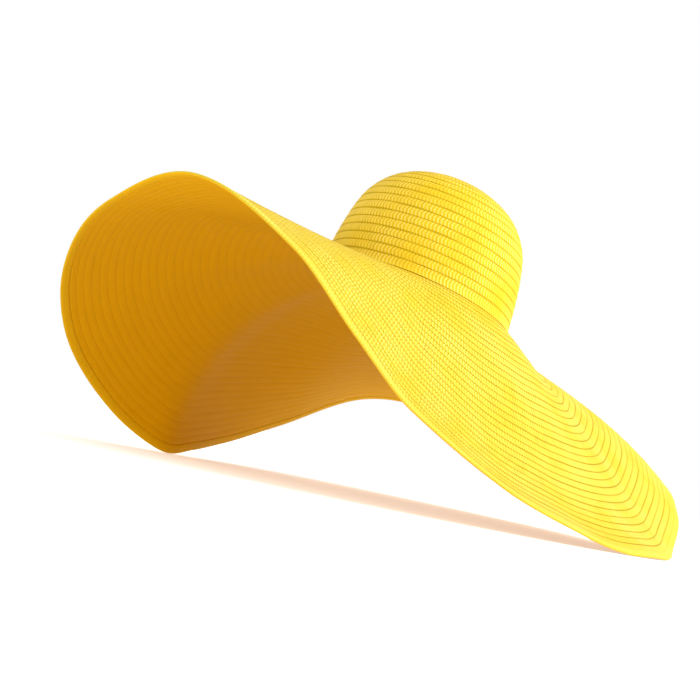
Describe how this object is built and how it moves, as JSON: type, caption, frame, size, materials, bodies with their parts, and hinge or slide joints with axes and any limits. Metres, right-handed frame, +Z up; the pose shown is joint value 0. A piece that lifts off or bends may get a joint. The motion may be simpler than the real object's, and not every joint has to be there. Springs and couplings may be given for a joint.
{
  "type": "sun hat",
  "caption": "Sun hat of sewn yellow straw braid, with a round crown and a very wide brim that waves and droops.",
  "frame": {"origin": "centre of the bounding box's bottom face, on the surface that the hat's rim lies on", "axes": "+Z up, -Y towards the wearer's front, +X towards the wearer's left; the crown's axis leans about 14 degrees from +Z, as the hat lies by itself"},
  "size_m": [0.6356, 0.6676, 0.3192],
  "materials": {
    "crown": "matt sewn straw braid",
    "brim": "matt sewn straw braid",
    "edge_row": "matt sewn straw braid"
  },
  "bodies": {
    "root": {"crown": "crown", "brim": "brim", "edge_row": "edge_row"}
  },
  "joints": []
}
